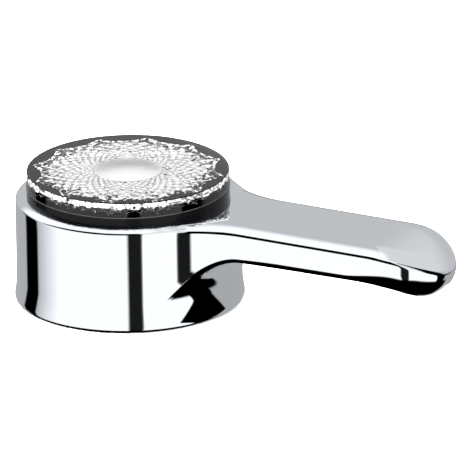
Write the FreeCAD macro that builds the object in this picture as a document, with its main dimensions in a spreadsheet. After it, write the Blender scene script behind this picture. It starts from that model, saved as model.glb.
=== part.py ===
"""Single-lever mixer handle: a cast cup and lever with a snapped-in crystal cap.

Frame: the origin is on the cup's axis in the plane of its mouth, +Z goes up through the cap and +X runs
out along the lever. All lengths are in millimetres.
"""
import FreeCAD, Part
import math
import os
import Sketcher

Vector = FreeCAD.Vector
SLAB_MARGIN = 2.0  # how far construction solids run past the faces that trim them
EDGE_REACH = 0.05  # slack when edges are picked by their height
SHARP_ANGLE = math.radians(20)  # faces that meet at less count as smooth
COLUMNS_PER_POINT = 3  # columns of facets under each tip of the star
WINDOW_LAND = 0.1  # flat between the dished window and the first facets

# Driving dimensions: alias, value, meaning
SIZES = (
    ("cup_height", 25.6, "mouth of the cup to the flat top"),
    ("cup_radius", 26.6, "upright outer wall of the cup"),
    ("mouth_flare", 0.45, "how much wider the wall is at the mouth"),
    ("flare_rise", 6.2, "height over which the wall flares"),
    ("mouth_edge", 0.5, "rounding of the mouth's outer edge"),
    ("arm_half_width", 12.7, "axis of the lever to its parallel sides"),
    ("arm_reach", 84.5, "cup axis to the tip of the lever in plan"),
    ("arm_depth", 8.2, "thickness of the lever at its root"),
    ("arm_fall", 0.6, "slope of the lever in degrees"),
    ("fall_start", 33.0, "cup axis to where the top starts to slope"),
    ("fall_radius", 300.0, "bend from the flat top to the slope"),
    ("blend_radius", 24.0, "hollow in plan between cup and lever"),
    ("nose_length", 14.5, "tip back to where the sides start to close"),
    ("nose_tip_radius", 10.5, "plan radius of the lever's tip"),
    ("brow_length", 16.5, "tip back to where the top bends down"),
    ("brow_radius", 30.0, "side-view radius of that bend"),
    ("swell_length", 22.5, "tip back to where the underside swells"),
    ("nose_radius", 6.2, "side-view radius under the tip"),
    ("tip_wall", 0.7, "end of the top down to the start of that radius"),
    ("nose_overrun", 0.3, "side view of the nose past the tip in plan"),
    ("root_radius", 10.5, "hollow between the underside and the cup wall"),
    ("sole_edge", 1.2, "rounding of the underside's edges"),
    ("nose_edge", 4.2, "rounding under the tip"),
    ("sole_edge_start", 36.0, "cup axis to where the underside's edges start to round"),
    ("root_edge", 0.1, "rounding at that start"),
    ("roll_width", 4.0, "width of the soft slope round the top"),
    ("roll_drop", 1.2, "fall of that slope"),
    ("roll_radius", 14.0, "rounding between flat top and slope"),
    ("top_edge", 0.9, "rounding between slope and side"),
    ("bore_wall", 2.2, "wall round the register bore over the mixer's collar"),
    ("bore_depth", 5.0, "length of the register bore"),
    ("cavity_wall", 2.6, "wall round the cartridge space above the bore"),
    ("recess_radius", 19.0, "recess for the cap's skirt"),
    ("recess_depth", 6.0, "flat top to the recess floor"),
    ("plate_thickness", 3.6, "wall between recess and cartridge space"),
    ("boss_radius", 8.0, "boss round the stem socket"),
    ("boss_length", 10.0, "boss below the plate"),
    ("socket_width", 8.1, "square stem socket across flats"),
    ("screw_clearance_hole", 5.4, "diameter of the hole for the screw"),
    ("cap_radius", 23.9, "outside of the cap"),
    ("base_band", 2.1, "visible height of the black carrier"),
    ("skirt_depth", 4.4, "carrier's skirt below the flat top"),
    ("skirt_wall", 1.6, "wall of the carrier's skirt"),
    ("skirt_gap", 0.15, "clearance of the skirt in the recess"),
    ("bead_size", 0.5, "how far the snap bead stands out"),
    ("bead_drop", 2.9, "flat top down to the middle of the bead"),
    ("slit_width", 2.4, "slits between the snap fingers"),
    ("slit_count", 4, "number of slits"),
    ("crystal_height", 3.7, "thickness of the clear disc"),
    ("crystal_edge", 0.45, "rounding of the disc's top edge"),
    ("window_radius", 7.6, "smooth dished middle of the disc"),
    ("window_rise", 1.1, "height of the dish"),
    ("star_radius", 21.6, "tips of the facet star"),
    ("star_valley", 17.6, "facet field between the star's tips"),
    ("star_points", 12, "number of tips"),
    ("facet_rise", 1.0, "height of the outer facets"),
    ("screw_diameter", 5.0, "shank of the retaining screw"),
    ("screw_length", 8.0, "shank length"),
    ("head_diameter", 8.5, "screw head"),
    ("head_height", 5.0, "screw head"),
    ("key_width", 4.0, "hexagon across flats"),
    ("key_depth", 2.5, "depth of the hexagon"),
)

doc = FreeCAD.newDocument("tap_handle")
sheet = doc.addObject("Spreadsheet::Sheet", "sizes")
for row, (alias, value, meaning) in enumerate(SIZES, start=1):
    sheet.set("A%d" % row, meaning)
    sheet.set("B%d" % row, str(value))
    sheet.setAlias("B%d" % row, alias)
doc.recompute()


class Size:
    """A driving dimension or a sum of some: its number, and the formula that ties a property to it."""

    def __init__(self, number, formula):
        self.number = number
        self.formula = formula

    def join(self, sign, other, number):
        formula = other.formula if isinstance(other, Size) else repr(other)
        return Size(number, "(%s %s %s)" % (self.formula, sign, formula))

    def __float__(self):
        return float(self.number)

    def __add__(self, other):
        return self.join("+", other, self.number + float(other))

    def __sub__(self, other):
        return self.join("-", other, self.number - float(other))

    def __mul__(self, other):
        return self.join("*", other, self.number * float(other))

    def __truediv__(self, other):
        return self.join("/", other, self.number / float(other))

    def __neg__(self):
        return Size(-self.number, "(-%s)" % self.formula)


def size(alias):
    return Size(float(getattr(sheet, alias)), "sizes." + alias)


def from_tip(alias):
    """Cup axis to a place that is measured back from the lever's tip."""
    return size("arm_reach") - size(alias)


ZERO = Size(0.0, "0")


def bind(target, prop, formula_size):
    """Tie a property of a document object to the sheet."""
    target.setExpression(prop, formula_size.formula)


def point(across, up):
    return Vector(float(across), float(up), 0)


def arc(centre, radius, start, end):
    """Arc of a circle, anticlockwise between two angles in degrees."""
    circle = Part.Circle(centre, Vector(0, 0, 1), float(radius))
    return Part.ArcOfCircle(circle, math.radians(start), math.radians(end))


def new_body(label):
    body = doc.addObject("PartDesign::Body", label)
    body.Label = label
    return body


def new_sketch(body, name, plane, height=None):
    """Sketch on one of the body's own planes, raised by a size where one is given."""
    sketch = body.newObject("Sketcher::SketchObject", name)
    origin_plane = next(f for f in body.Origin.OriginFeatures if f.Role == plane)
    sketch.AttachmentSupport = [(origin_plane, "")]
    sketch.MapMode = "FlatFace"
    if height is not None:
        bind(sketch, "AttachmentOffset.Base.z", height)
    return sketch


def constrain(sketch, kind, *geometry, to=None):
    """Add a constraint, tied to a size where it has one."""
    if to is None:
        sketch.addConstraint(Sketcher.Constraint(kind, *geometry))
        return
    index = sketch.addConstraint(Sketcher.Constraint(kind, *geometry, float(to)))
    bind(sketch, "Constraints[%d]" % index, to)


START, END, CENTRE = range(1, 4)  # points of a sketch's line or arc
ORIGIN = (-1, 1)


def place(sketch, piece, end, across=None, up=None):
    """Tie a point of the sketch to its distances from the sketch's origin."""
    if across is not None:
        constrain(sketch, "DistanceX", *ORIGIN, piece, end, to=across)
    if up is not None:
        constrain(sketch, "DistanceY", *ORIGIN, piece, end, to=up)


def polygon(sketch, corners):
    """Closed outline of straight lines through corners that are pairs of sizes."""
    first = sketch.GeometryCount
    count = len(corners)
    for i in range(count):
        line = Part.LineSegment(point(*corners[i]), point(*corners[(i + 1) % count]))
        sketch.addGeometry(line, False)
    for i in range(count):
        constrain(sketch, "Coincident", first + i, END, first + (i + 1) % count, START)
    for i, (across, up) in enumerate(corners):
        place(sketch, first + i, START, across, up)


def add_feature(body, kind, name, profile, **properties):
    """Add a sketch-based feature; Size values are tied to the sheet."""
    feature = body.newObject("PartDesign::" + kind, name)
    feature.Profile = profile
    feature.Refine = True
    for prop, value in properties.items():
        if isinstance(value, Size):
            bind(feature, prop, value)
        else:
            setattr(feature, prop, value)
    doc.recompute()
    return feature


def spin(body, kind, name, profile):
    """Revolution or Groove all the way round the sketch's upright axis."""
    return add_feature(body, kind, name, profile, ReferenceAxis=(profile, ["V_Axis"]), Angle=360.0)


def edge_at(shape, *place_of_edge):
    """Name of the edge that passes nearest to a place."""
    vertex = Part.Vertex(Vector(*[float(value) for value in place_of_edge]))
    gaps = [edge.distToShape(vertex)[0] for edge in shape.Edges]
    return "Edge%d" % (gaps.index(min(gaps)) + 1)


def dress(body, kind, name, edge_place, **properties):
    """Fillet or Chamfer along the smooth chain of edges that passes a place."""
    base = body.Tip
    feature = body.newObject("PartDesign::" + kind, name)
    feature.Base = (base, [edge_at(base.Shape, *edge_place)])
    for prop, value in properties.items():
        if isinstance(value, Size):
            bind(feature, prop, value)
        else:
            setattr(feature, prop, value)
    doc.recompute()
    return feature


def side_profile(body):
    """Side view of the lever's slab: a falling top over a level sole that swells into the nose."""
    sketch = new_sketch(body, "side_profile", "XZ_Plane")
    top = float(size("cup_height"))
    fall = math.radians(float(size("arm_fall")))
    fall_start = float(size("fall_start"))
    fall_radius = float(size("fall_radius"))
    brow_radius = float(size("brow_radius"))
    nose_radius = float(size("nose_radius"))
    back = -(size("cup_radius") + SLAB_MARGIN)
    front = size("arm_reach") + size("nose_overrun")
    sole_level = size("cup_height") - size("arm_depth")

    fall_angle = 90 - math.degrees(fall)
    bend = arc(point(fall_start, top - fall_radius), fall_radius, fall_angle, 90)
    slope_start = bend.StartPoint
    brow_run = float(from_tip("brow_length")) - slope_start.x
    brow = slope_start + Vector(brow_run, -brow_run * math.tan(fall), 0)
    brow_centre = brow - Vector(math.sin(fall), math.cos(fall), 0) * brow_radius
    brow_end = math.degrees(math.acos((float(front) - brow_centre.x) / brow_radius))
    brow_arc = arc(brow_centre, brow_radius, brow_end, fall_angle)
    nose_tip = brow_arc.StartPoint - Vector(0, float(size("tip_wall")), 0)
    nose_centre = nose_tip - Vector(nose_radius, 0, 0)
    # The swell leaves the level sole and runs on to the nose, so its centre is straight below the start
    # of the swell and as far from the nose's centre as both radii together.
    sole = point(from_tip("swell_length"), sole_level)
    lead = sole - nose_centre
    swell_radius = (lead.Length ** 2 - nose_radius ** 2) / (2 * (nose_radius + lead.y))
    swell_centre = sole - Vector(0, swell_radius, 0)
    to_nose = nose_centre - swell_centre
    nose_angle = math.degrees(math.atan2(to_nose.y, to_nose.x))
    sketch.addGeometry([
        Part.LineSegment(point(back, top), point(fall_start, top)),
        bend,
        Part.LineSegment(slope_start, brow),
        brow_arc,
        Part.LineSegment(brow_arc.StartPoint, nose_tip),
        arc(nose_centre, nose_radius, nose_angle - 180, 0),
        arc(swell_centre, swell_radius, nose_angle, 90),
        Part.LineSegment(sole, point(back, sole_level)),
        Part.LineSegment(point(back, sole_level), point(back, top)),
    ], False)
    level, bend, slope, brow_bend, tip, nose, swell, sole, rear = range(9)

    constrain(sketch, "Tangent", level, END, bend, END)
    constrain(sketch, "Tangent", bend, START, slope, START)
    constrain(sketch, "Tangent", slope, END, brow_bend, END)
    constrain(sketch, "Coincident", brow_bend, START, tip, START)
    constrain(sketch, "Coincident", tip, END, nose, END)
    constrain(sketch, "Tangent", nose, START, swell, START)
    constrain(sketch, "Tangent", swell, END, sole, START)
    constrain(sketch, "Coincident", sole, END, rear, START)
    constrain(sketch, "Coincident", rear, END, level, START)
    constrain(sketch, "Horizontal", level)
    constrain(sketch, "Horizontal", sole)
    constrain(sketch, "Vertical", tip)
    constrain(sketch, "Vertical", rear)
    place(sketch, level, START, back, size("cup_height"))
    place(sketch, level, END, size("fall_start"))
    place(sketch, sole, START, from_tip("swell_length"), sole_level)
    constrain(sketch, "Radius", bend, to=size("fall_radius"))
    constrain(sketch, "Radius", brow_bend, to=size("brow_radius"))
    constrain(sketch, "Radius", nose, to=size("nose_radius"))
    place(sketch, slope, END, from_tip("brow_length"))
    place(sketch, brow_bend, START, front)
    constrain(sketch, "DistanceY", tip, END, tip, START, to=size("tip_wall"))
    constrain(sketch, "Horizontal", nose, CENTRE, nose, END)
    angle = sketch.addConstraint(Sketcher.Constraint("Angle", slope, -fall))
    sketch.setExpression("Constraints[%d]" % angle, "-sizes.arm_fall * 1 deg")
    return sketch


def plan_outline(body):
    """Plan of the handle inside a frame: round cup, hollow blends, parallel arm and closing nose."""
    sketch = new_sketch(body, "plan_outline", "XY_Plane")
    cup = float(size("cup_radius"))
    half = float(size("arm_half_width"))
    blend = float(size("blend_radius"))
    nose_start = float(from_tip("nose_length"))
    tip_radius = float(size("nose_tip_radius"))
    tip_centre = float(size("arm_reach") - size("nose_tip_radius"))
    blend_along = math.sqrt((cup + blend) ** 2 - (half + blend) ** 2)
    blend_angle = math.degrees(math.atan2(half + blend, blend_along))
    run = tip_centre - nose_start
    shoulder = (run ** 2 + half ** 2 - tip_radius ** 2) / (2 * (half - tip_radius))
    shoulder_angle = math.degrees(math.atan2(shoulder - half, run))
    sketch.addGeometry([
        arc(point(0, 0), cup, blend_angle, 360 - blend_angle),
        arc(point(blend_along, -half - blend), blend, 90, 180 - blend_angle),
        Part.LineSegment(point(blend_along, -half), point(nose_start, -half)),
        arc(point(nose_start, shoulder - half), shoulder, -90, -shoulder_angle),
        arc(point(tip_centre, 0), tip_radius, -shoulder_angle, shoulder_angle),
        arc(point(nose_start, half - shoulder), shoulder, shoulder_angle, 90),
        Part.LineSegment(point(nose_start, half), point(blend_along, half)),
        arc(point(blend_along, half + blend), blend, 180 + blend_angle, 270),
    ], False)
    wall, near_blend, near_side, near_shoulder, tip, far_shoulder, far_side, far_blend = range(8)

    constrain(sketch, "Tangent", wall, END, near_blend, END)
    constrain(sketch, "Tangent", near_blend, START, near_side, START)
    constrain(sketch, "Tangent", near_side, END, near_shoulder, START)
    constrain(sketch, "Tangent", near_shoulder, END, tip, START)
    constrain(sketch, "Tangent", tip, END, far_shoulder, START)
    constrain(sketch, "Tangent", far_shoulder, END, far_side, START)
    constrain(sketch, "Tangent", far_side, END, far_blend, END)
    constrain(sketch, "Tangent", far_blend, START, wall, START)
    constrain(sketch, "Coincident", wall, CENTRE, *ORIGIN)
    constrain(sketch, "Radius", wall, to=size("cup_radius"))
    constrain(sketch, "Radius", near_blend, to=size("blend_radius"))
    constrain(sketch, "Radius", far_blend, to=size("blend_radius"))
    constrain(sketch, "Horizontal", near_side)
    constrain(sketch, "Horizontal", far_side)
    place(sketch, near_side, END, from_tip("nose_length"), -size("arm_half_width"))
    place(sketch, far_side, START, from_tip("nose_length"), size("arm_half_width"))
    constrain(sketch, "Radius", tip, to=size("nose_tip_radius"))
    place(sketch, tip, CENTRE, size("arm_reach") - size("nose_tip_radius"), ZERO)

    side = size("cup_radius") + size("root_radius") + SLAB_MARGIN
    front = size("arm_reach") + size("nose_overrun") + 2 * SLAB_MARGIN
    polygon(sketch, [(-side, -side), (front, -side), (front, side), (-side, side)])
    return sketch


def root_collar(body):
    """Section of the hollow between the lever's underside and the cup wall."""
    sketch = new_sketch(body, "root_collar", "XZ_Plane")
    wall = size("cup_radius")
    outer = size("cup_radius") + size("root_radius")
    level = size("cup_height") - size("arm_depth")
    low = level - size("root_radius")
    lap = level + SLAB_MARGIN
    inner = size("recess_radius")
    sketch.addGeometry([
        Part.LineSegment(point(inner, low), point(wall, low)),
        arc(point(outer, low), size("root_radius"), 90, 180),
        Part.LineSegment(point(outer, level), point(outer, lap)),
        Part.LineSegment(point(outer, lap), point(inner, lap)),
        Part.LineSegment(point(inner, lap), point(inner, low)),
    ], False)
    floor, hollow, rim, lid, core = range(5)
    constrain(sketch, "Coincident", floor, END, hollow, END)
    constrain(sketch, "Coincident", hollow, START, rim, START)
    constrain(sketch, "Coincident", rim, END, lid, START)
    constrain(sketch, "Coincident", lid, END, core, START)
    constrain(sketch, "Coincident", core, END, floor, START)
    place(sketch, floor, START, inner, low)
    place(sketch, floor, END, wall, low)
    place(sketch, hollow, CENTRE, outer, low)
    constrain(sketch, "Vertical", hollow, CENTRE, hollow, START)
    constrain(sketch, "Vertical", rim)
    place(sketch, lid, END, inner, lap)
    constrain(sketch, "Horizontal", lid)
    return sketch


def cup_section(body):
    """Half section of the solid cup, with a wall that flares softly to the mouth."""
    sketch = new_sketch(body, "cup_section", "XZ_Plane")
    wall = size("cup_radius")
    mouth = size("cup_radius") + size("mouth_flare")
    rise = size("flare_rise")
    lap = size("cup_height") - size("arm_depth") + SLAB_MARGIN
    edge = size("mouth_edge")
    flare = float(size("mouth_flare"))
    flare_height = float(rise - edge)
    flare_radius = (flare_height ** 2 + flare ** 2) / (2 * flare)
    sweep = math.degrees(math.asin(flare_height / flare_radius))
    sketch.addGeometry([
        Part.LineSegment(point(0, 0), point(mouth - edge, 0)),
        arc(point(mouth - edge, edge), edge, 270, 360),
        arc(point(float(wall) + flare_radius, rise), flare_radius, 180, 180 + sweep),
        Part.LineSegment(point(wall, rise), point(wall, lap)),
        Part.LineSegment(point(wall, lap), point(0, lap)),
        Part.LineSegment(point(0, lap), point(0, 0)),
    ], False)
    floor, lip, flare_arc, upright, lid, axis = range(6)
    constrain(sketch, "Tangent", floor, END, lip, START)
    constrain(sketch, "Coincident", lip, END, flare_arc, END)
    constrain(sketch, "Tangent", flare_arc, START, upright, START)
    constrain(sketch, "Coincident", upright, END, lid, START)
    constrain(sketch, "Coincident", lid, END, axis, START)
    constrain(sketch, "Coincident", axis, END, floor, START)
    place(sketch, floor, START, ZERO, ZERO)
    place(sketch, floor, END, None, ZERO)
    place(sketch, lip, END, mouth, edge)
    constrain(sketch, "Radius", lip, to=edge)
    place(sketch, upright, START, wall, rise)
    constrain(sketch, "Vertical", upright)
    place(sketch, lid, END, ZERO, lap)
    constrain(sketch, "Horizontal", lid)
    return sketch


def lever_outside():
    """The casting's outside: slab and root collar cut to the plan, the cup, and the soft top edge."""
    body = new_body("lever_casting")
    slab_width = (size("cup_radius") + SLAB_MARGIN) * 2
    add_feature(body, "Pad", "slab", side_profile(body), SideType="Symmetric", Length=slab_width)
    spin(body, "Revolution", "collar", root_collar(body))
    add_feature(body, "Pocket", "plan_cut", plan_outline(body), SideType="Symmetric", Type="ThroughAll")
    spin(body, "Revolution", "cup", cup_section(body))
    wall = size("cup_radius")
    top = size("cup_height")
    dress(body, "Chamfer", "soft_slope", (-wall, ZERO, top), ChamferType="Two distances",
          Size=size("roll_width"), Size2=size("roll_drop"))
    dress(body, "Fillet", "top_edge", (-wall, ZERO, top - size("roll_drop")), Radius=size("top_edge"))
    dress(body, "Fillet", "soft_crown", (size("roll_width") - wall, ZERO, top), Radius=size("roll_radius"))
    return body


def hollow_casting(body):
    """Inside of the casting: cartridge space, boss with its stem socket, cap recess and screw hole."""
    recess_floor = size("cup_height") - size("recess_depth")
    ceiling = recess_floor - size("plate_thickness")
    below = ZERO - SLAB_MARGIN
    above = size("cup_height") + SLAB_MARGIN

    cavity = new_sketch(body, "cavity_section", "XZ_Plane")
    bore = size("cup_radius") - size("bore_wall")
    space = size("cup_radius") - size("cavity_wall")
    polygon(cavity, [(ZERO, below), (bore, below), (bore, size("bore_depth")), (space, size("bore_depth")),
                     (space, ceiling), (ZERO, ceiling)])
    spin(body, "Groove", "cavity", cavity)

    boss = new_sketch(body, "boss_section", "XZ_Plane")
    boss_end = ceiling - size("boss_length")
    polygon(boss, [(ZERO, boss_end), (size("boss_radius"), boss_end), (size("boss_radius"), recess_floor),
                   (ZERO, recess_floor)])
    spin(body, "Revolution", "boss", boss)

    socket = new_sketch(body, "socket_square", "XY_Plane", boss_end)
    half = size("socket_width") / 2
    polygon(socket, [(-half, -half), (half, -half), (half, half), (-half, half)])
    add_feature(body, "Pocket", "stem_socket", socket, Length=size("boss_length"), Reversed=True)

    groove_radius = size("recess_radius") + size("bead_size")
    bead_level = size("cup_height") - size("bead_drop")
    bead_half = size("bead_size") + size("skirt_gap")
    recess = new_sketch(body, "recess_section", "XZ_Plane")
    polygon(recess, [(ZERO, above), (size("recess_radius"), above),
                     (size("recess_radius"), bead_level + bead_half), (groove_radius, bead_level),
                     (size("recess_radius"), bead_level - bead_half), (size("recess_radius"), recess_floor),
                     (ZERO, recess_floor)])
    spin(body, "Groove", "cap_recess", recess)

    hole = new_sketch(body, "screw_circle", "XY_Plane", recess_floor)
    hole.addGeometry(Part.Circle(point(0, 0), Vector(0, 0, 1), float(size("screw_clearance_hole")) / 2), False)
    constrain(hole, "Coincident", 0, CENTRE, *ORIGIN)
    constrain(hole, "Diameter", 0, to=size("screw_clearance_hole"))
    add_feature(body, "Pocket", "screw_hole", hole, Length=size("plate_thickness"))


def sole_radius(place_on_edge):
    """Rounding of the underside's edge: it starts from next to nothing and grows round the tip."""
    if place_on_edge.x < float(size("sole_edge_start")) + EDGE_REACH:
        return float(size("root_edge"))
    start = float(from_tip("swell_length"))
    run = float(size("swell_length") - size("nose_radius"))
    share = min(1.0, max(0.0, (place_on_edge.x - start) / run))
    edge = float(size("sole_edge"))
    return edge + (float(size("nose_edge")) - edge) * share


def underside_edges(shape):
    """Edges between the lever's sides and its underside, with the radius at each end.

    The radii follow the chain of edges in one sense, the one in which its first edge runs.
    """
    level = float(size("cup_height") - size("arm_depth"))
    start = float(size("sole_edge_start")) + EDGE_REACH
    rows = []
    sense = 0
    for index, edge in enumerate(shape.Edges, start=1):
        middle = edge.valueAt((edge.FirstParameter + edge.LastParameter) / 2)
        if middle.x < start or middle.z > level + EDGE_REACH:
            continue
        normals = [face.normalAt(*face.Surface.parameter(middle))
                   for face in shape.ancestorsOfType(edge, Part.Face)]
        if len(normals) != 2 or normals[0].getAngle(normals[1]) < SHARP_ANGLE:
            continue
        first = edge.valueAt(edge.FirstParameter)
        last = edge.valueAt(edge.LastParameter)
        runs_out = (last.x - first.x) * middle.y
        sense = sense or runs_out
        if runs_out * sense < 0:
            first, last = last, first
        rows.append((index, sole_radius(first), sole_radius(last)))
    return rows


def combine(kind, name, base, tool):
    """Cut, Common or Fuse of two document objects."""
    result = doc.addObject("Part::" + kind, name)
    result.Label = name
    result.Base = base
    result.Tool = tool
    result.Refine = True
    doc.recompute()
    return result


def lever_body():
    """Chrome-plated casting: the cup and root of the lever, joined to the arm with its rounded underside."""
    casting = lever_outside()
    hollow_casting(casting)
    room = doc.addObject("Part::Box", "arm_room")
    width = (size("cup_radius") + SLAB_MARGIN) * 2
    bind(room, "Length", size("arm_reach"))
    bind(room, "Width", width)
    bind(room, "Height", size("cup_height") + SLAB_MARGIN)
    bind(room, "Placement.Base.x", size("sole_edge_start"))
    bind(room, "Placement.Base.y", -(width / 2))
    arm = combine("Common", "arm", casting, room)
    rounded = doc.addObject("Part::Fillet", "rounded_arm")
    rounded.Base = arm
    rounded.Edges = underside_edges(arm.Shape)
    doc.recompute()
    return combine("Fuse", "lever_body", combine("Cut", "cup_and_root", casting, room), rounded)


def cap_base():
    """Black carrier of the cap: a plate with a split skirt that snaps into the recess."""
    body = new_body("cap_base")
    top = size("cup_height") + size("base_band")
    flat = size("cup_height")
    skirt_outer = size("recess_radius") - size("skirt_gap")
    skirt_inner = skirt_outer - size("skirt_wall")
    skirt_end = flat - size("skirt_depth")
    bead_level = flat - size("bead_drop")
    bead_tip = skirt_outer + size("bead_size")
    section = new_sketch(body, "base_section", "XZ_Plane")
    polygon(section, [(ZERO, top), (ZERO, flat), (skirt_inner, flat), (skirt_inner, skirt_end),
                      (skirt_outer, skirt_end), (skirt_outer, bead_level - size("bead_size")),
                      (bead_tip, bead_level), (skirt_outer, bead_level + size("bead_size")),
                      (skirt_outer, flat), (size("cap_radius"), flat), (size("cap_radius"), top)])
    spin(body, "Revolution", "plate_and_skirt", section)

    slit = new_sketch(body, "slit_outline", "XY_Plane", skirt_end)
    half = size("slit_width") / 2
    inner = skirt_inner - SLAB_MARGIN
    outer = bead_tip + SLAB_MARGIN
    polygon(slit, [(inner, -half), (outer, -half), (outer, half), (inner, half)])
    cut = add_feature(body, "Pocket", "slit", slit, Length=size("skirt_depth"), Reversed=True)
    ring = body.newObject("PartDesign::PolarPattern", "slits")
    ring.Originals = [cut]
    ring.Axis = (slit, ["N_Axis"])
    ring.Angle = 360
    bind(ring, "Occurrences", size("slit_count"))
    body.Tip = ring
    return body


def retaining_screw():
    """Socket-head screw that stands on the recess floor."""
    body = new_body("retaining_screw")
    seat = size("cup_height") - size("recess_depth")
    head = size("head_diameter") / 2
    shank = size("screw_diameter") / 2
    top = seat + size("head_height")
    tip = seat - size("screw_length")
    bevel = size("screw_diameter") / 10
    section = new_sketch(body, "screw_section", "XZ_Plane")
    polygon(section, [(ZERO, tip), (shank - bevel, tip), (shank, tip + bevel), (shank, seat), (head, seat),
                      (head, top - bevel), (head - bevel, top), (ZERO, top)])
    spin(body, "Revolution", "shank_and_head", section)

    key = new_sketch(body, "key_hexagon", "XY_Plane", top)
    corner = size("key_width") / (2 * math.cos(math.radians(30)))
    across = size("key_width") / 2
    polygon(key, [(corner, ZERO), (corner / 2, across), (-corner / 2, across), (-corner, ZERO),
                  (-corner / 2, -across), (corner / 2, -across)])
    add_feature(body, "Pocket", "key_socket", key, Length=size("key_depth"))
    return body


def facet_corners():
    """Rings of facet corners on the underside, each ring turned half a column from the last.

    The radii grow in a geometric series, so every lozenge has the same proportions.
    """
    window = float(size("window_radius"))
    columns = COLUMNS_PER_POINT * int(float(size("star_points")))
    spread = math.log(float(size("star_valley")) / window)
    rings = 2 * round(spread * columns / (2 * math.pi))
    step = 2 * math.pi / columns

    def corner(ring, column):
        radius = window * math.exp(spread * ring / rings)
        angle = (column + ring % 2 / 2) * step
        return Vector(radius * math.cos(angle), radius * math.sin(angle), 0)

    return corner, rings, columns


def pit(rim):
    """Facets of a pit: triangles from each side of its rim to an apex over the rim's middle."""
    middle = sum(rim, Vector()) / len(rim)
    slope = float(size("facet_rise")) / float(size("star_valley"))
    apex = middle + Vector(0, 0, slope * math.hypot(middle.x, middle.y))
    facets = []
    for i, corner in enumerate(rim):
        triangle = Part.makePolygon([corner, rim[(i + 1) % len(rim)], apex, corner])
        facets.append(Part.Face(triangle))
    return facets


def crystal_facets():
    """Star of lozenge pits, with the polygons that bound it inside and outside."""
    corner, rings, columns = facet_corners()
    tip_growth = float(size("star_radius")) / float(size("star_valley"))
    facets = []
    outline = []
    for column in range(columns):
        facets += pit([corner(0, column), corner(1, column), corner(0, column + 1)])
        for ring in range(1, rings):
            left = column + ring % 2
            facets += pit([corner(ring - 1, left), corner(ring, column), corner(ring + 1, left),
                           corner(ring, column + 1)])
        main = column % COLUMNS_PER_POINT == COLUMNS_PER_POINT // 2
        growth = tip_growth if main else math.sqrt(tip_growth)
        tip = (corner(rings, column) + corner(rings, column + 1)) / 2 * growth
        facets += pit([corner(rings - 1, column), corner(rings, column), tip, corner(rings, column + 1)])
        outline += [corner(rings, column), tip]
    window = [corner(0, column) for column in range(columns)]
    return facets, outline, window


def crystal_disc():
    """Clear disc: plain top and wall, and on the underside a star of pits round a dished window."""
    radius = float(size("cap_radius"))
    height = float(size("crystal_height"))
    edge = float(size("crystal_edge"))
    facets, outline, window = crystal_facets()
    dish = float(size("window_radius")) * math.cos(math.pi / len(window)) - WINDOW_LAND
    rise = float(size("window_rise"))
    dish_radius = (dish ** 2 + rise ** 2) / (2 * rise)
    half_angle = math.asin(dish / dish_radius) / 2

    def turned(curve):
        return curve.toShape().revolve(Vector(), Vector(0, 0, 1), 360)

    def ring_wire(ring_radius, level):
        return Part.Wire(Part.makeCircle(ring_radius, Vector(0, 0, level)))

    def flat_ring(outer, inner):
        return Part.makeFace([outer, inner], "Part::FaceMakerBullseye")

    shoulder = math.sqrt(0.5) * edge
    rim_arc = Part.Arc(Vector(radius, 0, height - edge),
                       Vector(radius - edge + shoulder, 0, height - edge + shoulder),
                       Vector(radius - edge, 0, height))
    dish_arc = Part.Arc(Vector(0, 0, rise),
                        Vector(dish_radius * math.sin(half_angle), 0,
                               rise - dish_radius * (1 - math.cos(half_angle))),
                        Vector(dish, 0, 0))
    faces = [
        Part.Face(ring_wire(radius - edge, height)),
        turned(rim_arc),
        turned(Part.LineSegment(Vector(radius, 0, 0), Vector(radius, 0, height - edge))),
        flat_ring(ring_wire(radius, 0), Part.makePolygon(outline + outline[:1])),
        flat_ring(Part.makePolygon(window + window[:1]), ring_wire(dish, 0)),
        turned(dish_arc),
    ]
    skin = Part.Compound(faces + facets)
    skin.sewShape()
    solid = Part.Solid(Part.Shell(skin.Faces))
    if solid.Volume < 0:
        solid.reverse()
    disc = doc.addObject("Part::Feature", "crystal_disc")
    disc.Label = "crystal_disc"
    disc.Shape = solid
    bind(disc, "Placement.Base.z", size("cup_height") + size("base_band"))
    return disc


sub_parts = [lever_body(), cap_base(), crystal_disc(), retaining_screw()]
doc.recompute()

for item in doc.Objects:
    if "Invalid" in item.State or "Error" in item.State:
        raise RuntimeError("%s failed: %s" % (item.Name, item.State))
for sub_part in sub_parts:
    if sub_part.Shape.isNull() or not sub_part.Shape.isValid():
        raise RuntimeError("%s has no valid solid" % sub_part.Label)

os.makedirs("parts", exist_ok=True)
for sub_part in sub_parts:
    sub_part.Shape.exportStep("parts/%s.step" % sub_part.Label)
    print(sub_part.Label, round(sub_part.Shape.Volume, 1), "mm3")
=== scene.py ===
"""Looks and stage of a single-lever mixer handle with a cut-crystal cap.

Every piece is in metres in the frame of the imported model: the origin is on the cup's axis in the plane of
its mouth, +Z goes up through the cap and +X runs out along the lever.
"""
import math

import bpy
import numpy as np
from bpy.props import FloatProperty, FloatVectorProperty, PointerProperty
from mathutils import Matrix, Vector


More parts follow.
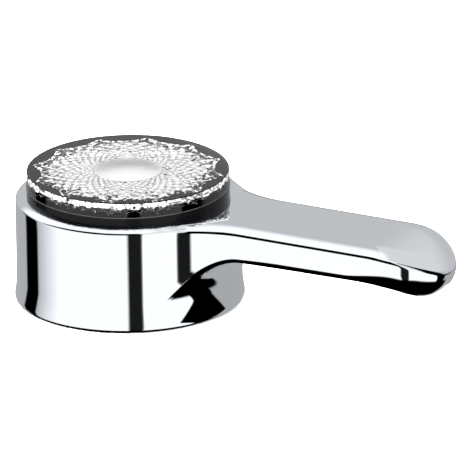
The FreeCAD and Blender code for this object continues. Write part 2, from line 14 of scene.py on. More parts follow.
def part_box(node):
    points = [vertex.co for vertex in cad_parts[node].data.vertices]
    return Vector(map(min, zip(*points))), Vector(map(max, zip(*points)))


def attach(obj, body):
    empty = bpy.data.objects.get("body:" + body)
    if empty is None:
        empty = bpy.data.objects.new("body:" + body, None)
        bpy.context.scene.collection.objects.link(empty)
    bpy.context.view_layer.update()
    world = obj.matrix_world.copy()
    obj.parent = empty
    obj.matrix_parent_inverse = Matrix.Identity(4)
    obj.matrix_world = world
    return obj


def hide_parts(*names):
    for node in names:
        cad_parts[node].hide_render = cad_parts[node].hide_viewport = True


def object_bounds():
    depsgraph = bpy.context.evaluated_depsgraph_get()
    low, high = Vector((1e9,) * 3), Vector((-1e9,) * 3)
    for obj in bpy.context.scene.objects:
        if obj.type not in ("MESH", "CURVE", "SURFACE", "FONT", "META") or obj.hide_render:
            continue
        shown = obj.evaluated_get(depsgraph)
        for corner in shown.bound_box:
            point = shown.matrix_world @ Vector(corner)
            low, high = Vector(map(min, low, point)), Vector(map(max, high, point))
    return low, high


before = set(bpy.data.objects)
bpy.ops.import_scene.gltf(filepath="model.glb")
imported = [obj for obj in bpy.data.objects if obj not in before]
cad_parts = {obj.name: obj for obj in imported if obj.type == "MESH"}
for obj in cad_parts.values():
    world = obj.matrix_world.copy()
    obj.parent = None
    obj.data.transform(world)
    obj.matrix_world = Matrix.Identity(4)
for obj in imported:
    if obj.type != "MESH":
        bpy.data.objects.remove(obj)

bl_info = {
    "name": "Mixer Handle",
    "version": (1, 0, 0),
    "blender": (4, 5, 0),
    "location": "3D View > Sidebar > Handle",
    "description": "Chromed mixer handle with a cut-crystal cap",
    "category": "Object",
}

BODY = "root"
CAD_LOW, CAD_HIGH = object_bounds()
CARRIER_RIM = 0.0021  # top of the cap's carrier above the cup's flat top
CUP_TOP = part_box("cap_base")[1].z - CARRIER_RIM
ARM_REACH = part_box("lever_body")[1].x
MOST_OVERHANG = 0.4  # most of the lever's overhang that the rounding of the underside's edge may take
MOST_SIDE = 0.8  # most of the side's height that it may take
LEAST_RUN = 1e-6  # shortest way in plan from that rounding to the cup's wall, so that it is never zero
LEAST_FLAT = 0.3  # least share of that way in front of the hollow at the root
WALL_SPREAD = 0.8  # share of the free wall that the underside's rings take where there is no lever
BAND_FACETS = 66  # folds of the silvered band round the disc
BAND_ROWS = 4  # rows of corners down the band's face
STEPS_PER_FOLD = 8
UNEVEN_FOLDS = ((0.6, 7, 0.0), (0.45, 17, 1.0))  # sines in the count of folds: size, waves and start
BAND_SMOOTH = 0.1  # radians between faces of the band that are shaded as one surface
BEAD_STEPS = 360  # steps of the painted highlight line round the disc
BEAD_SIDES = 12  # and round its own section
KEYS_PER_METRE = 1e7  # corners that agree to a tenth of a micrometre are one
WHITE = (1.0, 1.0, 1.0, 1.0)
BLACK = (0.0, 0.0, 0.0, 1.0)


def length(name, default, description):
    """A size in metres that the sidebar shows."""
    return FloatProperty(name=name, description=description, default=default, unit="LENGTH", precision=5)


def colour(name, default, description):
    """A tint that the sidebar shows."""
    return FloatVectorProperty(name=name, description=description, default=default, subtype="COLOR",
                               size=3, min=0.0, max=1.0)


def angle(name, degrees, description):
    """An angle that is given in degrees and kept in radians."""
    return FloatProperty(name=name, description=description, default=math.radians(degrees),
                         subtype="ANGLE", unit="ROTATION")


def share(name, default, description):
    """A value between 0 and 1."""
    return FloatProperty(name=name, description=description, default=default, min=0.0, max=1.0,
                         subtype="FACTOR")


class LeverSizes(bpy.types.PropertyGroup):
    """Sizes of the chromed casting."""
    smooth_angle: angle("Smooth angle", 32.0, "Faces that meet at less are shaded as one surface")
    cup_height: length("Cup height", CUP_TOP, "Mouth of the cup to the flat top")
    cup_radius: length("Cup radius", 0.0266, "Upright outer wall of the cup")
    mouth_flare: length("Mouth flare", 0.00045, "How much wider the wall is at the mouth")
    flare_rise: length("Flare rise", 0.0062, "Height over which the wall flares")
    mouth_edge: length("Mouth edge", 0.001, "Rounding of the mouth's outer edge")
    arm_half_width: length("Arm half width", 0.0127, "Axis of the lever to its parallel sides")
    arm_reach: length("Arm reach", ARM_REACH, "Cup axis to the tip of the lever")
    arm_depth: length("Arm depth", 0.0087, "Thickness of the lever at its root")
    arm_fall: angle("Arm fall", 0.6, "Slope of the lever")
    fall_start: length("Fall start", 0.033, "Cup axis to where the top starts to slope")
    fall_radius: length("Fall radius", 0.3, "Bend from the flat top to the slope")
    blend_radius: length("Blend radius", 0.0255, "Hollow in plan between cup and lever")
    nose_start: length("Nose start", 0.070, "Cup axis to where the sides start to close")
    nose_tip_radius: length("Nose tip radius", 0.0105, "Plan radius of the lever's tip")
    brow_start: length("Brow start", 0.068, "Cup axis to where the top bends down to the tip")
    brow_radius: length("Brow radius", 0.030, "Side-view radius of that bend")
    sole_start: length("Sole start", 0.062, "Cup axis to where the underside swells")
    nose_radius: length("Nose radius", 0.0062, "Side-view radius under the tip")
    tip_wall: length("Tip wall", 0.0007, "End of the top down to the start of that radius")
    nose_overrun: length("Nose overrun", 0.0003, "Side view of the nose past the tip in plan")
    root_radius: length("Root radius", 0.0105, "Hollow between the underside and the cup wall")
    root_edge: length("Root edge", 0.0012, "Rounding of the underside's edge at the root")
    sole_edge: length("Sole edge", 0.002, "Rounding of the underside's edges")
    nose_edge: length("Nose edge", 0.0065, "Rounding under the tip")
    roll_width: length("Roll width", 0.0035, "Width of the soft slope round the top")
    roll_drop: length("Roll drop", 0.0012, "Fall of that slope")
    roll_radius: length("Roll radius", 0.014, "Rounding between flat top and slope")
    top_edge: length("Top edge", 0.0009, "Rounding between slope and side")
    rim_width: length("Rim width", 0.0016, "Width of the slope round the cup's rim")
    rim_drop: length("Rim drop", 0.0009, "Fall of that slope")
    rim_radius: length("Rim radius", 0.003, "Rounding between flat top and that slope")
    rim_edge: length("Rim edge", 0.0006, "Rounding between that slope and the wall")
    bore_radius: length("Bore radius", 0.0244, "Register bore over the mixer's collar")
    bore_depth: length("Bore depth", 0.005, "Length of the register bore")
    cavity_radius: length("Cavity radius", 0.024, "Cartridge space above the bore")
    recess_radius: length("Recess radius", 0.019, "Recess for the cap's skirt")
    recess_depth: length("Recess depth", 0.006, "Flat top to the recess floor")
    groove_drop: length("Groove drop", 0.0029, "Flat top to the middle of the groove for the cap's skirt")
    groove_half: length("Groove half height", 0.00065, "Middle of that groove to its edges")
    groove_depth: length("Groove depth", 0.0005, "Recess wall out to the bottom of that groove")
    plate_thickness: length("Plate thickness", 0.0036, "Wall between recess and cartridge space")
    boss_radius: length("Boss radius", 0.008, "Boss round the stem socket")
    boss_length: length("Boss length", 0.01, "Boss below the plate")
    socket_width: length("Socket width", 0.0081, "Square stem socket across flats")
    screw_hole: length("Screw hole", 0.0054, "Diameter of the hole for the screw")
    inner_edge: length("Inner edge", 0.00025, "Bevel of the machined edges inside")


class CapSizes(bpy.types.PropertyGroup):
    """Values for the cap's pieces."""
    smooth_angle: angle("Smooth angle", 18.0, "Faces that meet at less are shaded as one surface")
    window_radius: length("Window radius", 0.0078, "Plain window in the middle of the facets")
    silver_radius: length("Silver radius", 0.0217, "Cup axis to the outer edge of the silvered facets")
    # Spots that show the black plastic through the silver grow more common from here out to the star's tips
    silver_depth: length("Silver depth", 0.002, "Top of the disc down to the highest silvered corner")
    dark_spot_start: length("Worn start", 0.014, "Cup axis to where the silver starts to thin out")
    foil_end: length("Foil end", 0.0232, "Cup axis to beyond the foil's tips")
    band_back: length("Band back", 0.0234, "Cup axis to where the band's own silver starts")
    foil_dome: length("Foil dome", 0.0008, "How much higher the silvered foil is in the middle")
    foil_relief: share("Foil relief", 0.6, "Height of the foil's facets, as a share of the cut ones")
    foil_spread: share("Foil spread", 0.055, "How much wider the foil is than the cut facets, as a share")
    foil_cover: length("Foil cover", 0.0002, "Top of the disc down to the foil's highest point")
    foil_film: length("Foil thickness", 0.00001, "Thickness of the foil")
    band_inset: length("Band inset", 0.0002, "Wall of the disc in to the silvered band")
    band_fold: length("Band fold", 0.0002, "Depth of the band's folds")
    band_notch: length("Band notch", 0.0004, "Depth of the notches in the band's lower edge")
    band_start: length("Band start", 0.0003, "Top of the disc down to the band")
    band_height: length("Band height", 0.0014, "Height of the band")
    # The bead's grey, lit by the room light, is a painted highlight line along the disc's lower edge
    bead_radius: length("Bead radius", 0.00008, "Fine line between the disc and the carrier")


class Finishes(bpy.types.PropertyGroup):
    """Colours and gloss of the finishes."""
    chrome: colour("Chrome", (0.90, 0.94, 0.98), "Tint of the chrome plating")
    chrome_gloss: share("Chrome roughness", 0.025, "Roughness of clean plating")
    chrome_smear: share("Chrome smear", 0.05, "Roughness where it was handled")
    # Darker grey inside the cup: a rougher bare casting, and partly a painted shade in the bore and recess
    casting: colour("Bare casting", (0.62, 0.62, 0.63), "Inside of the cup")
    plastic: colour("Black plastic", (0.002, 0.002, 0.0023), "Moulded carrier")
    # Grey of the bead round the cap, lighter than the black carrier: a painted highlight line
    highlight_line: colour("Highlight line", (0.03, 0.03, 0.032), "Fine line round the cap")
    plastic_gloss: share("Plastic roughness", 0.12, "Roughness of the carrier's rim")
    acrylic: colour("Acrylic", (0.985, 0.99, 0.99), "Clear disc")
    silver: colour("Facet silver", (0.95, 0.95, 0.955), "Metal film behind the facets")
    steel: colour("Screw steel", (0.42, 0.42, 0.43), "Plain stainless steel")
    steel_gloss: share("Steel roughness", 0.3, "Roughness of the screw")


class StudioValues(bpy.types.PropertyGroup):
    """Camera and light."""
    azimuth: angle("Azimuth", 27.0, "Camera round the cup's axis, from the front to the lever's side")
    elevation: angle("Elevation", 20.2, "Camera above the horizon")
    roll: angle("Roll", 0.9, "How far the object leans anticlockwise in the picture")
    frame_width: length("Frame width", 0.1103, "Width of the picture at the cup's axis")
    look_right: length("Look right", 0.02505, "Picture's middle right of the cup's axis")
    look_down: length("Look down", 0.01012, "Picture's middle below the flat top")
    distance: length("Distance", 4.5, "Camera to the middle of the picture")


def along(start, end, count, closed=True):
    """Even steps from start to end, which is left out if the run isn't closed."""
    return np.linspace(start, end, count, endpoint=closed)


def smoothstep(value):
    """Cubic ease 3t^2 - 2t^3 with t held between 0 and 1."""
    held = np.clip(value, 0.0, 1.0)
    return held * held * (3.0 - 2.0 * held)


def arc_points(centre, radius, start, end, count, hollow=False):
    """Points and outward normals of an arc: centre + radius (cos a, sin a), for angles in radians.

    A hollow arc belongs to a concave stretch, so its outward normals point at the centre.
    """
    angles = along(start, end, count, closed=False)
    spokes = np.stack([np.cos(angles), np.sin(angles)], axis=1)
    return np.asarray(centre) + radius * spokes, -spokes if hollow else spokes


def plan_outline(sizes):
    """Closed outline of the casting in plan, with outward normals.

    Half of it is worked out, from the tip round to the back of the cup: tip arc, shoulder arc, straight
    side, hollow blend and cup arc, each tangent to the next. The other half is its mirror image.
    """
    half = sizes.arm_half_width
    cup, blend = sizes.cup_radius, sizes.blend_radius
    tip_radius = sizes.nose_tip_radius
    tip_x = sizes.arm_reach - tip_radius
    blend_x = math.sqrt((cup + blend) ** 2 - (half + blend) ** 2)
    blend_angle = math.atan2(half + blend, blend_x)
    run = tip_x - sizes.nose_start
    shoulder = (run ** 2 + half ** 2 - tip_radius ** 2) / (2 * (half - tip_radius))
    shoulder_angle = math.atan2(shoulder - half, run)
    side_x = along(sizes.nose_start, blend_x, 36, closed=False)
    stretches = [
        arc_points((tip_x, 0.0), tip_radius, 0.0, shoulder_angle, 26),
        arc_points((sizes.nose_start, half - shoulder), shoulder, shoulder_angle, math.pi / 2, 26),
        (np.stack([side_x, np.full_like(side_x, half)], axis=1), np.tile((0.0, 1.0), (len(side_x), 1))),
        arc_points((blend_x, half + blend), blend, -math.pi / 2, blend_angle - math.pi, 34, hollow=True),
        arc_points((0.0, 0.0), cup, blend_angle, math.pi, 100),
    ]
    points = np.concatenate([stretch[0] for stretch in stretches])
    normals = np.concatenate([stretch[1] for stretch in stretches])
    back = np.array([[-cup, 0.0]]), np.array([[-1.0, 0.0]])
    mirror = np.array([1.0, -1.0])
    points = np.concatenate([points, back[0], points[:0:-1] * mirror])
    normals = np.concatenate([normals, back[1], normals[:0:-1] * mirror])
    return points, normals


def top_level(sizes, x):
    """Height of the top: level, then a bend, a slope, and the brow that bends down to the tip."""
    fall, radius = sizes.arm_fall, sizes.fall_radius
    bend_x = sizes.fall_start + radius * math.sin(fall)
    bend_drop = radius * (1.0 - math.cos(fall))
    brow_drop = bend_drop + (sizes.brow_start - bend_x) * math.tan(fall)
    into_bend = np.clip(x, sizes.fall_start, bend_x) - sizes.fall_start
    drop = radius - np.sqrt(radius ** 2 - into_bend ** 2)
    drop = drop + (np.clip(x, bend_x, sizes.brow_start) - bend_x) * math.tan(fall)
    centre_x = sizes.brow_start - sizes.brow_radius * math.sin(fall)
    centre_drop = brow_drop + sizes.brow_radius * math.cos(fall)
    reach = np.clip(x - centre_x, 0.0, sizes.brow_radius)
    brow = centre_drop - np.sqrt(sizes.brow_radius ** 2 - reach ** 2)
    return sizes.cup_height - np.where(x > sizes.brow_start, brow, drop)


def sole_level(sizes, points):
    """Height of the underside: hollow at the root, then level, the swell, and the nose.

    The hollow is the quarter of a circle that leads from the cup's wall to the underside. The swell leaves
    the level sole and is tangent to the circle under the nose, so its centre is straight below the swell's
    start and as far from the nose's centre as both radii together.
    """
    x = points[..., 0]
    from_axis = np.hypot(points[..., 0], points[..., 1])
    level = sizes.cup_height - sizes.arm_depth
    sole = np.array([sizes.sole_start, level])
    front = sizes.arm_reach + sizes.nose_overrun
    nose = np.array([front - sizes.nose_radius, float(top_level(sizes, front)) - sizes.tip_wall])
    lead = sole - nose
    swell_radius = (lead @ lead - sizes.nose_radius ** 2) / (2 * (sizes.nose_radius + lead[1]))
    swell = sole - (0.0, swell_radius)
    to_nose = nose - swell
    meet_x = nose[0] - to_nose[0] / np.hypot(*to_nose) * sizes.nose_radius
    swell_z = swell[1] + np.sqrt(np.maximum(swell_radius ** 2 - (x - swell[0]) ** 2, 0.0))
    nose_z = nose[1] - np.sqrt(np.maximum(sizes.nose_radius ** 2 - (x - nose[0]) ** 2, 0.0))
    height = np.where(x > sizes.sole_start, swell_z, level)
    height = np.where(x > meet_x, nose_z, height)

    rim = sizes.cup_radius + sizes.root_radius
    into_hollow = np.clip(rim - from_axis, 0.0, sizes.root_radius)
    hollow = sizes.root_radius - np.sqrt(sizes.root_radius ** 2 - into_hollow ** 2)
    return height - hollow


def roll_profile(sizes, on_arm):
    """Soft top edge at each point of the outline: distance in from the outline, and drop below the top.

    From the flat top a wide arc turns down to the slope, and a tight arc turns from the slope to the
    upright side. Each arc is tangent to both of its neighbours. The rim of the cup has a short, steep
    slope and the lever a long, shallow one, and the share on the lever passes from one to the other.
    """
    width = sizes.rim_width + (sizes.roll_width - sizes.rim_width) * on_arm
    fall = sizes.rim_drop + (sizes.roll_drop - sizes.rim_drop) * on_arm
    crown = sizes.rim_radius + (sizes.roll_radius - sizes.rim_radius) * on_arm
    edge = sizes.rim_edge + (sizes.top_edge - sizes.rim_edge) * on_arm
    tilt = np.arctan2(fall, width)
    turn = along(0.0, 1.0, 9)[:, None] * tilt
    crown_in = width + crown * np.tan(tilt / 2) - crown * np.sin(turn)
    crown_drop = crown * (1 - np.cos(turn))
    turn = tilt + along(0.0, 1.0, 12)[:, None] * (math.pi / 2 - tilt)
    edge_in = edge * (1 - np.sin(turn))
    edge_drop = fall + edge * np.tan(math.pi / 4 - tilt / 2) - edge * np.cos(turn)
    return np.concatenate([crown_in, edge_in]), np.concatenate([crown_drop, edge_drop])


def stack(points, heights):
    """Rings of points (rings, outline, 2) and their heights as one array of places."""
    heights = np.broadcast_to(heights, points.shape[:-1])
    return np.concatenate([points, heights[..., None]], axis=-1)


def turned_rings(directions, profile):
    """Rings round the axis: each pair of a profile is a radius and a height."""
    radii, heights = np.asarray(profile).T
    return stack(radii[:, None, None] * directions, heights[:, None])


def top_rings(sizes, points, normals, directions):
    """Top of the casting: the flat from the recess to the soft edge, then the soft edge itself."""
    overhang = np.hypot(points[:, 0], points[:, 1]) - sizes.cup_radius
    edge_in, edge_drop = roll_profile(sizes, smoothstep(overhang / (2 * sizes.top_edge)))
    inner_rim = (sizes.recess_radius + sizes.inner_edge) * directions
    outer_rim = points - normals * edge_in[0][:, None]
    steps = along(0.0, 1.0, 31)[:-1, None, None]
    flat = inner_rim + (outer_rim - inner_rim) * steps
    edge = points - normals * edge_in[..., None]
    plan = np.concatenate([flat, edge])
    drops = np.concatenate([np.zeros(flat.shape[:2]), edge_drop])
    return stack(plan, top_level(sizes, plan[..., 0]) - drops)


def under_rings(sizes, points, normals, directions, side_top):
    """Sides and underside of the lever, as far as the cup's wall.

    The sides drop from the soft edge. A quarter circle turns them into the underside, which runs straight
    in plan towards the cup's axis and down the hollow at the root. Behind the lever the underside has no
    width, and there its rings are spread down the wall instead.
    """
    overhang = np.hypot(points[:, 0], points[:, 1]) - sizes.cup_radius
    beyond_root = smoothstep(overhang / (2 * sizes.root_radius))
    to_tip = (points[:, 0] - sizes.sole_start) / (sizes.arm_reach - sizes.nose_radius - sizes.sole_start)
    edge = sizes.root_edge + (sizes.sole_edge - sizes.root_edge) * beyond_root
    edge = edge + (sizes.nose_edge - sizes.sole_edge) * smoothstep(to_tip)
    side_height = side_top - sole_level(sizes, points)
    edge = np.minimum(edge, np.minimum(overhang * MOST_OVERHANG, side_height * MOST_SIDE))

    turn = along(0.0, math.pi / 2, 10)[:, None]
    rounding = points - normals * (edge * (1 - np.cos(turn)))[..., None]
    rounding_z = sole_level(sizes, rounding) + edge * (1 - np.sin(turn))

    wall = sizes.cup_radius * directions
    run = np.maximum(overhang - edge, LEAST_RUN)
    hollow_share = np.clip(1 - sizes.root_radius / run, LEAST_FLAT, 1.0)
    out = along(0.0, 1.0, 25)[1:, None] * hollow_share
    into_root = hollow_share + (1 - hollow_share) * np.sin(along(0.0, math.pi / 2, 13)[1:, None])
    steps = np.concatenate([out, into_root])[..., None]
    under = rounding[-1] + (wall - rounding[-1]) * steps
    plan = np.concatenate([rounding, under])
    heights = np.concatenate([rounding_z, sole_level(sizes, under)])
    behind = 1 - smoothstep(overhang / sizes.root_radius)
    room = sizes.cup_height - sizes.arm_depth - sizes.root_radius - sizes.flare_rise
    heights = heights - along(0.0, WALL_SPREAD, len(plan))[:, None] * behind * room

    side = along(0.0, 1.0, 9)[1:-1, None]
    side_z = side_top + (heights[0] - side_top) * side
    sides = np.broadcast_to(points, side_z.shape + (2,))
    return np.concatenate([stack(sides, side_z), stack(plan, heights)])


def wall_profile(sizes):
    """Cup wall below the lever, down to the inner edge of the mouth, as radius and height."""
    rise = sizes.flare_rise - sizes.mouth_edge
    radius = (rise ** 2 + sizes.mouth_flare ** 2) / (2 * sizes.mouth_flare)
    turn = along(0.0, math.asin(rise / radius), 10)
    flare = np.stack([sizes.cup_radius + radius * (1 - np.cos(turn)),
                      sizes.flare_rise - radius * np.sin(turn)], axis=1)
    turn = along(0.0, math.pi / 2, 8)[1:]
    centre = sizes.cup_radius + sizes.mouth_flare - sizes.mouth_edge
    lip = np.stack([centre + sizes.mouth_edge * np.cos(turn),
                    sizes.mouth_edge * (1 - np.sin(turn))], axis=1)
    return np.concatenate([flare, lip])


def inside_rings(sizes, directions):
    """Bore, cartridge space, boss with its square socket, screw hole and recess, from the mouth up.

    Round stretches are circles about the axis. A ring of the socket is a square: its radius in a direction
    is half the width over the larger of that direction's two components.
    """
    bevel = sizes.inner_edge
    corner = 4 * bevel
    floor = sizes.cup_height - sizes.recess_depth
    ceiling = floor - sizes.plate_thickness
    boss_end = ceiling - sizes.boss_length
    lower = turned_rings(directions, [
        (sizes.bore_radius + bevel, 0.0), (sizes.bore_radius, bevel), (sizes.bore_radius, sizes.bore_depth),
        (sizes.cavity_radius, sizes.bore_depth), (sizes.cavity_radius, ceiling - corner),
        (sizes.cavity_radius - corner, ceiling), (sizes.boss_radius + corner, ceiling),
        (sizes.boss_radius, ceiling - corner), (sizes.boss_radius, boss_end + bevel),
        (sizes.boss_radius - bevel, boss_end)])
    square = sizes.socket_width / 2 / np.abs(directions).max(axis=1)[:, None]
    mouth = square * (1 + 2 * bevel / sizes.socket_width)
    socket = np.stack([mouth * directions, square * directions, square * directions])
    socket = stack(socket, np.array([boss_end, boss_end + bevel, ceiling])[:, None])
    groove = sizes.cup_height - sizes.groove_drop
    hole = sizes.screw_hole / 2
    recess = sizes.recess_radius
    upper = turned_rings(directions, [
        (hole, ceiling), (hole, floor - bevel), (hole + bevel, floor), (recess, floor),
        (recess, groove - sizes.groove_half), (recess + sizes.groove_depth, groove),
        (recess, groove + sizes.groove_half), (recess, sizes.cup_height - bevel)])
    return np.concatenate([lower, socket, upper])


def casting_surface(sizes):
    """The casting as a section carried once round the cup's axis.

    For each point of the plan outline the section is a closed loop: over the top, down the side, under the
    lever, down the wall and back up through the inside to the recess.
    """
    points, normals = plan_outline(sizes)
    directions = points / np.hypot(points[:, 0], points[:, 1])[:, None]
    top = top_rings(sizes, points, normals, directions)
    under = under_rings(sizes, points, normals, directions, top[-1, :, 2])
    wall = turned_rings(directions, wall_profile(sizes))
    inside = inside_rings(sizes, directions)
    return np.concatenate([top, under, wall, inside])


def add_object(name, mesh, node, material):
    """Link a finished mesh as a piece that rides on the handle, and may stand for a CAD node."""
    mesh.materials.append(material)
    piece = bpy.data.objects.new(name, mesh)
    bpy.context.scene.collection.objects.link(piece)
    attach(piece, BODY)
    if node:
        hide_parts(node)
    return piece


def shaded_mesh(name, places, faces, smooth_angle):
    """Mesh that is shaded smooth, but for edges that turn by more than an angle."""
    mesh = bpy.data.meshes.new(name)
    mesh.from_pydata(places.tolist(), [], faces.tolist())
    mesh.shade_smooth()
    mesh.set_sharp_from_angle(angle=smooth_angle)
    return mesh


def closed_grid(places):
    """Four-sided faces of a grid of places (rings, steps, 3) that closes on itself both ways."""
    index = np.arange(places.shape[0] * places.shape[1]).reshape(places.shape[:2])
    ahead = np.roll(index, -1, axis=0)
    faces = np.stack([index, ahead, np.roll(ahead, -1, axis=1), np.roll(index, -1, axis=1)], axis=-1)
    return faces.reshape(-1, 4)


def grid_mesh(name, places, smooth_angle):
    """Shaded mesh of a grid of places that closes on itself both ways."""
    return shaded_mesh(name, places.reshape(-1, 3), closed_grid(places), smooth_angle)


def merged_triangles(node):
    """A CAD node's loose triangles, joined where corners agree to a tenth of a micrometre."""
    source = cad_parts[node].data
    places = np.empty(len(source.vertices) * 3)
    source.vertices.foreach_get("co", places)
    corners = np.empty(len(source.loops), dtype=np.int32)
    source.loops.foreach_get("vertex_index", corners)
    places = places.reshape(-1, 3)
    keys = np.round(places * KEYS_PER_METRE).astype(np.int64)
    _, first, joined = np.unique(keys, axis=0, return_index=True, return_inverse=True)
    faces = joined.reshape(-1)[corners].reshape(-1, 3)
    whole = (faces != np.roll(faces, 1, axis=1)).all(axis=1)
    return places[first], faces[whole]


def full_turn(count):
    """Even angles once round, and their directions (cos a, sin a)."""
    turn = along(0.0, 2 * math.pi, count, closed=False)
    return turn, np.stack([np.cos(turn), np.sin(turn)], axis=1)


def bead_rings(sizes):
    """Painted highlight line between the disc and its carrier: a small circle carried round the axis."""
    low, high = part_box("crystal_disc")
    circle = full_turn(BEAD_SIDES)[1] * [sizes.bead_radius, -sizes.bead_radius]
    return turned_rings(full_turn(BEAD_STEPS)[1], circle + [high.x, low.z])


def facet_band(sizes):
    """Silvered band round the disc, just inside its wall, and the black strip behind and over it.

    Both are closed profiles carried round the axis. The band's outer face is folded: its radius swings in
    and out along the turn, half a fold later on each lower row, and its lower edge is notched. The folds
    are uneven, because sines of the turn are added to their count.
    """
    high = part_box("crystal_disc")[1]
    face = high.x - sizes.band_inset
    turn, directions = full_turn(STEPS_PER_FOLD * BAND_FACETS)
    row = np.arange(BAND_ROWS)[:, None]
    last = BAND_ROWS - 1
    count = turn * BAND_FACETS / (2 * math.pi)
    for size, waves, start in UNEVEN_FOLDS:
        count = count + size * np.sin(waves * turn + start)
    fold = np.abs((count + row / 2) % 1.0 - 0.5) * 2
    notch = np.abs(count / 2 % 1.0 - 0.5) * 2
    outer = face - sizes.band_fold * fold
    level = high.z - sizes.band_start - sizes.band_height * row / last
    level = level + sizes.band_notch * notch * (row == last)
    inner = np.full_like(outer, face - 1.5 * sizes.band_fold)
    band = stack(np.concatenate([outer, inner[::-1]])[..., None] * directions,
                 np.concatenate([level, level[::-1]]))
    wall = sizes.band_fold / 2
    lid = high.z - sizes.band_start + wall
    back = face - 2 * sizes.band_fold
    low = lid - sizes.band_height
    strip = turned_rings(directions, [
        (face, lid + wall), (face, lid), (back, lid), (back, low), (back - wall, low),
        (back - wall, lid + wall)])
    return band, strip


def silvered_faces(sizes, places, faces):
    """Silvered foil in the disc: a copy of the cut faces of its underside, widened, lifted and domed.

    A face belongs to it if all its corners are inside the silvered radius and well below the disc's top.
    The lift falls from the axis to the edge with the square of the distance, and the relief is flattened,
    so that the highest corner stays just under the disc's top.
    """
    from_axis = np.hypot(places[:, 0], places[:, 1])
    top = places[:, 2].max()
    silvered = (from_axis < sizes.silver_radius) & (places[:, 2] < top - sizes.silver_depth)
    used, joined = np.unique(faces[silvered[faces].all(axis=1)], return_inverse=True)
    wider = 1 + sizes.foil_spread
    foil = places[used] * [wider, wider, 1.0]
    dome = sizes.foil_dome * (1 - (from_axis[used] / sizes.silver_radius) ** 2)
    relief = foil[:, 2] * sizes.foil_relief + dome
    foil[:, 2] = top - sizes.foil_cover + relief - relief.max()
    return foil, joined.reshape(-1, 3)


def feed(tree, socket, value):
    """Link another node's socket to an input, or set the input to a value."""
    if isinstance(value, bpy.types.NodeSocket):
        tree.links.new(value, socket)
    else:
        socket.default_value = value


def connect(tree, node, **inputs):
    """Feed a node's inputs: i0, i1 and so on name them by place, other words by label."""
    for name, value in inputs.items():
        by_place = name[0] == "i" and name[1:].isdigit()
        feed(tree, node.inputs[int(name[1:]) if by_place else name.replace("_", " ")], value)


def add_node(tree, kind, settings=None, **inputs):
    """Node of a kind, with its settings, and with inputs that are values or other nodes' sockets."""
    made = tree.nodes.new("ShaderNode" + kind)
    for name, value in (settings or {}).items():
        setattr(made, name, value)
    connect(tree, made, **inputs)
    return made


def math_node(tree, operation, *values):
    """Value of a Math node."""
    inputs = {"i%d" % i: value for i, value in enumerate(values)}
    return add_node(tree, "Math", {"operation": operation}, **inputs).outputs[0]


def dot_product(tree, first, second):
    """Value of the dot product of two vectors."""
    return add_node(tree, "VectorMath", {"operation": "DOT_PRODUCT"}, i0=first, i1=second).outputs["Value"]


def between(tree, value, low, high, start=0.0, end=1.0):
    """Smooth step of a value from one range to another."""
    return add_node(tree, "MapRange", {"interpolation_type": "SMOOTHSTEP"}, i0=value, i1=low, i2=high,
                    i3=start, i4=end).outputs[0]


def mixed(tree, share_of_second, first, second):
    """Colour between two colours."""
    made = add_node(tree, "Mix", {"data_type": "RGBA"}, i0=share_of_second, i6=first, i7=second)
    return made.outputs[2]


def rgba(tint, gain=1.0):
    """Opaque colour of a tint, made brighter or darker by a gain."""
    return (*[gain * level for level in tint], 1.0)


def new_group(name, inputs, output):
    """Empty shader node group with value inputs and one value output."""
    group = bpy.data.node_groups.new(name, "ShaderNodeTree")
    for label, default in inputs:
        socket = group.interface.new_socket(label, in_out="INPUT", socket_type="NodeSocketFloat")
        socket.default_value = default
    group.interface.new_socket(output, in_out="OUTPUT", socket_type="NodeSocketFloat")
    return group, group.nodes.new("NodeGroupInput").outputs, group.nodes.new("NodeGroupOutput").inputs[0]


def smear_group():
    """Mask of handling marks: broad patches broken up by finer ones."""
    scales = [("Patch Scale", 60.0), ("Streak Scale", 400.0)]
    group, given, result = new_group("handling_smear", scales, "Mask")
    place = add_node(group, "TexCoord").outputs["Object"]
    patches = add_node(group, "TexNoise", Vector=place, Scale=given["Patch Scale"], Detail=3.0)
    streaks = add_node(group, "TexNoise", Vector=place, Scale=given["Streak Scale"], Detail=2.0)
    broad = between(group, patches.outputs[0], 0.45, 0.72)
    fine = between(group, streaks.outputs[0], 0.3, 0.75)
    group.links.new(math_node(group, "MULTIPLY", broad, fine), result)
    return group


def grain_group():
    """Height of a fine moulded or cast grain."""
    group, given, result = new_group("fine_grain", [("Scale", 2500.0)], "Height")
    place = add_node(group, "TexCoord").outputs["Object"]
    noise = add_node(group, "TexNoise", Vector=place, Scale=given["Scale"], Detail=4.0, Roughness=0.6)
    group.links.new(noise.outputs[0], result)
    return group


def use_group(tree, name, build, **inputs):
    """Output of a shared node group, built at its first use and placed with its own values."""
    shared = bpy.data.node_groups.get(name) or build()
    return add_node(tree, "Group", {"node_tree": shared}, **inputs).outputs[0]


def new_material(name):
    """Material with nodes, and its Principled BSDF."""
    material = bpy.data.materials.new(name)
    material.use_nodes = True
    tree = material.node_tree
    return material, tree, tree.nodes["Principled BSDF"]


BORE_SHADE_FADE = (0.0006, 0.0001)  # metres outside the bore over which the plating gives way to the darker bare casting, partly a painted shade
TOP_SHADE_FADE = (0.0001, 0.0004)  # metres below the flat top over which it does so in the recess
CAST_ROUGHNESS = 0.3  # how much rougher the bare casting is


